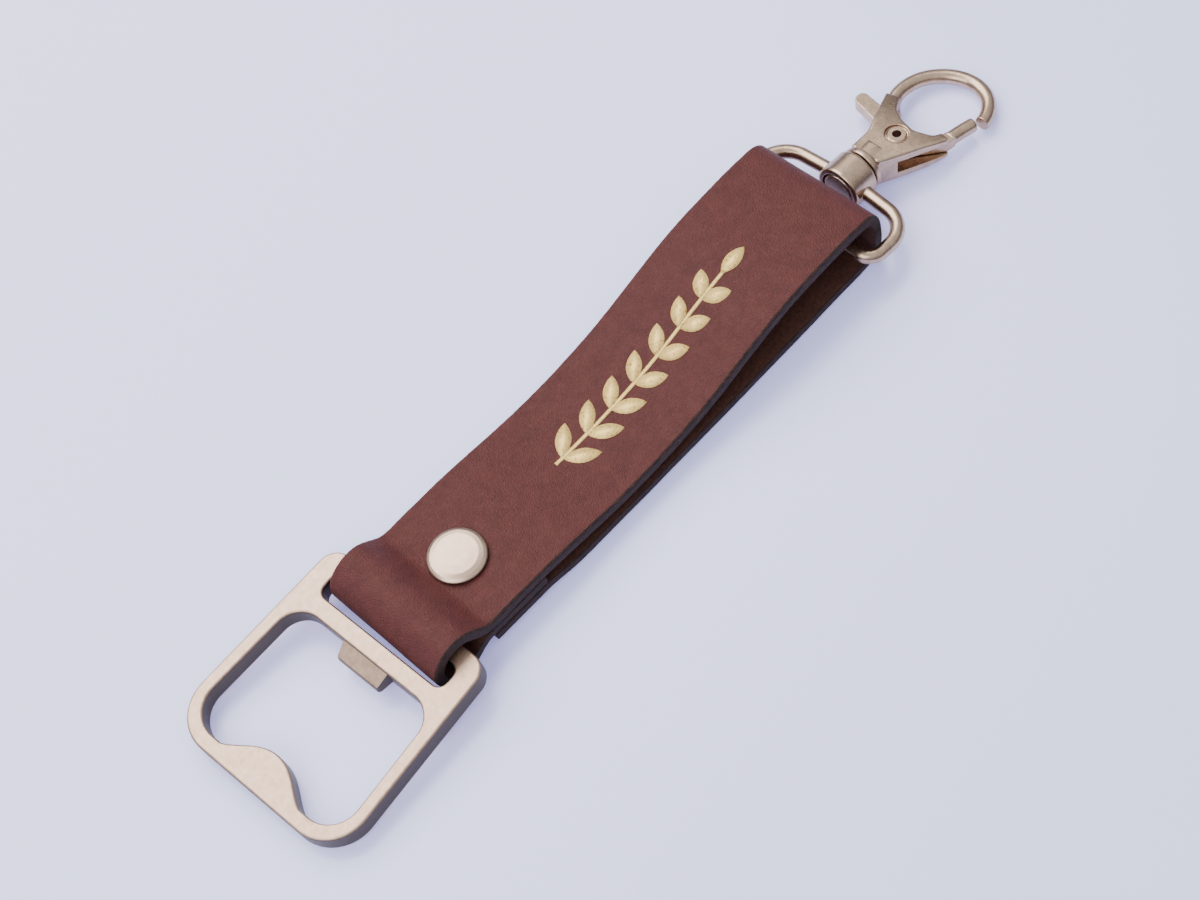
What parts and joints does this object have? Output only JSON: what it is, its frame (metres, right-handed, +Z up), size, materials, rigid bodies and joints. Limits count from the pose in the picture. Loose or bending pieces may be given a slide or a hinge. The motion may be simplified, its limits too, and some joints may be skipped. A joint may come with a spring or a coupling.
{
  "type": "keychain bottle opener",
  "caption": "Flat metal bottle opener on a folded leather strap, riveted round the opener's end bar and a swivel ring that carries a trigger snap hook.",
  "frame": {"origin": "middle of the footprint of the object as it lies on a table, at table height", "axes": "+X from the opener plate along the strap to the snap hook, +Y across the strap to its left, +Z up out of the table"},
  "size_m": [0.1716, 0.0371, 0.0131],
  "materials": {
    "opener_metal": "fine bead-blasted satin nickel, warm champagne tone",
    "strap_leather": "smooth reddish brown full-grain leather, raw dark cut edges, gold foil ornament",
    "rivet_metal": "satin nickel, warm tone",
    "clasp_metal": "antique brushed nickel, slightly glossy",
    "spring_steel": "bright spring wire"
  },
  "bodies": {
    "strap": {"leather_strap": "strap_leather", "rivet_front_cap": "rivet_metal", "rivet_front_socket": "rivet_metal", "rivet_back_post": "rivet_metal", "rivet_back_cap": "rivet_metal"},
    "opener": {"opener_plate": "opener_metal"},
    "ring": {"swivel_d_ring": "clasp_metal"},
    "clasp": {"swivel_stud": "clasp_metal", "hook_body": "clasp_metal", "trigger_pivot": "clasp_metal", "trigger_spring": "spring_steel"},
    "trigger": {"trigger_lever": "clasp_metal"}
  },
  "joints": [
    {"name": "opener_on_loop", "type": "hinge", "parent": "strap", "child": "opener", "pos_m": [-0.04931, 0.00099, 0.00501], "axis": [-0.0349, 0.9994, 0], "range_deg": [-75, 60]},
    {"name": "ring_in_fold", "type": "hinge", "parent": "strap", "child": "ring", "pos_m": [0.04436, 0.00085, 0.0062], "axis": [0.0175, -0.9998, 0], "range_deg": [-60, 60]},
    {"name": "clasp_swivel", "type": "hinge", "parent": "ring", "child": "clasp", "pos_m": [0.05479, 0.00103, 0.00498], "axis": [0.993, 0.0173, -0.1167], "continuous": true},
    {"name": "trigger_pivot", "type": "hinge", "parent": "clasp", "child": "trigger", "pos_m": [0.06583, 0.00006, 0.00368], "axis": [0.1167, 0.002, 0.9932], "range_deg": [0, 24], "stiffness_Nm_per_rad": 0.03, "springref_deg": -22.92}
  ]
}
